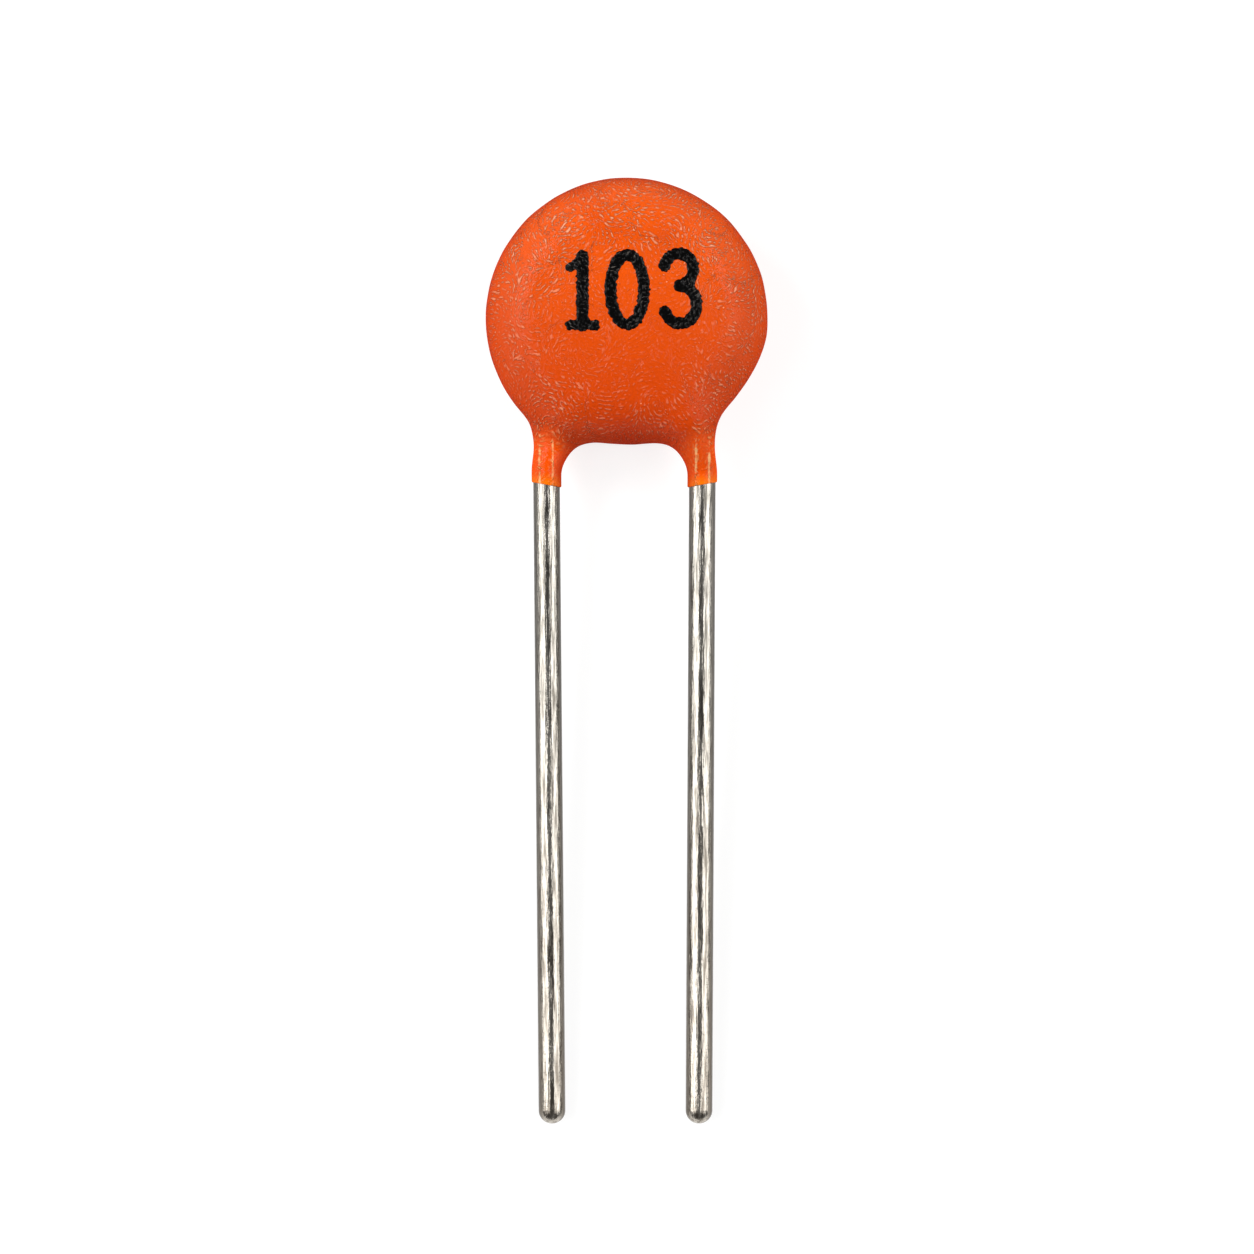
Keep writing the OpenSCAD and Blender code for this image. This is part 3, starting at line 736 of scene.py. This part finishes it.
film_points, film_faces = ink_film()
make_piece("stamped_value", lay_down(film_points), film_faces, ink, "value_marking")

# %% [markdown]
# ## The pieces inside
# Nobody sees the ceramic disc, its two electrodes and the solder, but each is finished as what it is.

# %% Finishes of the pieces inside
def speckled(name, dark, light, grain_mm, depth, **shader):
    """A finish whose colour varies between two tones in grains of one size, with a fine bump."""
    material, principled, place = new_finish(name, **shader)
    grains = add(material, "TexNoise", {"Vector": place, "Scale": 1 / grain_mm, "Detail": 3.0}).outputs["Fac"]
    bump = add(material, "Bump", {"Height": grains, "Distance": depth / 1000, "Strength": 1.0})
    material.node_tree.links.new(blend(material, grains, linear(dark), light), principled.inputs["Base Color"])
    material.node_tree.links.new(bump.outputs[0], principled.inputs["Normal"])
    return material


ceramic = speckled("fired_titanate_ceramic", "#8A6A4C", "#A98A68", 0.05, 0.003, Roughness=0.6)
silver = speckled("fired_silver_paste", "#B9B6AE", "#D6D3CC", 0.03, 0.002, Metallic=1.0, Roughness=0.45)
solder = speckled("tin_lead_solder", "#8E8D8A", "#B4B2AE", 0.12, 0.006, Metallic=1.0, Roughness=0.3)
INSIDE = {
    "ceramic_disc": ceramic,
    "front_electrode": silver,
    "back_electrode": silver,
    "front_solder": solder,
    "back_solder": solder,
}
for name, material in INSIDE.items():
    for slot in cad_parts[name].material_slots:
        slot.material = material

# %% [markdown]
# ## Table, lamps and camera
# The capacitor lies on a white card. A card lit from above is never quite white in a picture, so what the camera and
# the reflections see of it is partly its own glow, and partly the lit card, which keeps the shadow of the capacitor.
# The light that the card throws back on the capacitor is the plain light of the lamps.

# %% Table
TABLE_HALF, GLOW_SHARE, GLOW = 0.6, 0.65, 1.2
table_mesh = bpy.data.meshes.new("table")
corners = [(x * TABLE_HALF, y * TABLE_HALF, 0) for x, y in ((-1, -1), (1, -1), (1, 1), (-1, 1))]
table_mesh.from_pydata(corners, [], [(0, 1, 2, 3)])
table = bpy.data.objects.new("table", table_mesh)
bpy.context.scene.collection.objects.link(table)
white, white_shader, _ = new_finish("white_card", Base_Color=linear("#F7F7F6"), Roughness=0.9)
rays = add(white, "LightPath", {}).outputs
seen = add(white, "Math", {0: rays["Is Camera Ray"], 1: rays["Is Glossy Ray"]}, operation="MAXIMUM")
seen = add(white, "Math", {0: seen.outputs[0], 1: rays["Is Transmission Ray"]}, operation="MAXIMUM")
share = add(white, "Math", {0: seen.outputs[0], 1: GLOW_SHARE}, operation="MULTIPLY")
glow = add(white, "Emission", {"Color": linear("#FFFFFF"), "Strength": GLOW})
lit = {0: share.outputs[0], 1: white_shader.outputs[0], 2: glow.outputs[0]}
mixed = add(white, "MixShader", lit)
white.node_tree.links.new(mixed.outputs[0], white.node_tree.nodes["Material Output"].inputs["Surface"])
table_mesh.materials.append(white)

# %% [markdown]
# ### Lamps and camera
# Two strip lamps, one on each side, lie along the wires and make the two bright bands in each. Two small soft boxes by
# the head of the disc light the wrinkles of its rim from the side, and two dim lamps below carry the bands round the
# ends of the wires. The camera looks straight down on the face of the disc through a long lens, from far away, so that
# the numerals on the raised face stand where they stand in a drawing.

# %% Lamps and surroundings
AIM_MM = np.array([0.004, -5.18, 0])
AIM = lay_down(AIM_MM)
WORLD_GREY = 0.2


def soft_lamp(name, from_axis, above_x, wide, tall, radiance, distance=200):
    """A flat lamp that faces the capacitor, set by angles seen from it: away from the camera's axis, and up from x."""
    polar, turn = math.radians(from_axis), math.radians(above_x)
    outward = np.array([math.cos(turn), math.sin(turn), 0])
    z = outward * math.sin(polar) + [0, 0, math.cos(polar)]
    x = outward * math.cos(polar) - [0, 0, math.sin(polar)]
    origin = lay_down([0, 0, 0])
    turned = np.column_stack([lay_down(axis) - origin for axis in (x, np.cross(z, x), z)]) * 1000
    lamp = bpy.data.lights.new(name, "AREA")
    lamp.shape = "RECTANGLE"
    lamp.size, lamp.size_y = [2 * distance / 1000 * math.tan(math.radians(v / 2)) for v in (wide, tall)]
    lamp.energy = math.pi * lamp.size * lamp.size_y * radiance
    item = bpy.data.objects.new(name, lamp)
    item.location = lay_down(AIM_MM + distance * z)
    item.rotation_euler = Matrix(turned.tolist()).to_euler()
    bpy.context.scene.collection.objects.link(item)
    print(name, "is", round(1000 * lamp.size), "by", round(1000 * lamp.size_y), "mm,", round(lamp.energy, 3), "W")


# For each lamp its angles from the axis and above x, how wide and tall it looks, all in degrees, and its radiance.
LAMPS = {
    "strip_right": (50, 0, 56, 18, 2.5),
    "strip_left": (50, 180, 56, 18, 2.95),
    "softbox_right": (50, 32, 18, 24, 7.5),
    "softbox_left": (50, 148, 18, 24, 11.5),
    "low_right": (48, -27, 34, 22, 1.3),
    "low_left": (48, 207, 34, 22, 1.3),
}
for name, setting in LAMPS.items():
    soft_lamp(name, *setting)

world = bpy.data.worlds.new("studio")
bpy.context.scene.world = world
world.use_nodes = True
world.node_tree.nodes["Background"].inputs["Color"].default_value = (*3 * [WORLD_GREY], 1)

# %% Camera
FRAME_MM, LENS, SENSOR = 21.06, 600.0, 36.0
lens = bpy.data.cameras.new("camera")
lens.lens, lens.sensor_width, lens.clip_start, lens.clip_end = LENS, SENSOR, 0.001, 10
camera = bpy.data.objects.new("camera", lens)
towards = np.array([0, -math.sin(REST_TILT), math.cos(REST_TILT)])
camera.location = AIM + towards * FRAME_MM / 1000 * LENS / SENSOR
camera.rotation_euler = (REST_TILT, 0, 0)
bpy.context.scene.collection.objects.link(camera)
bpy.context.scene.camera = camera
bpy.context.scene.view_settings.view_transform = "Standard"
print("camera is", round(1000 * float(np.linalg.norm(camera.location - Vector(AIM)))), "mm away")
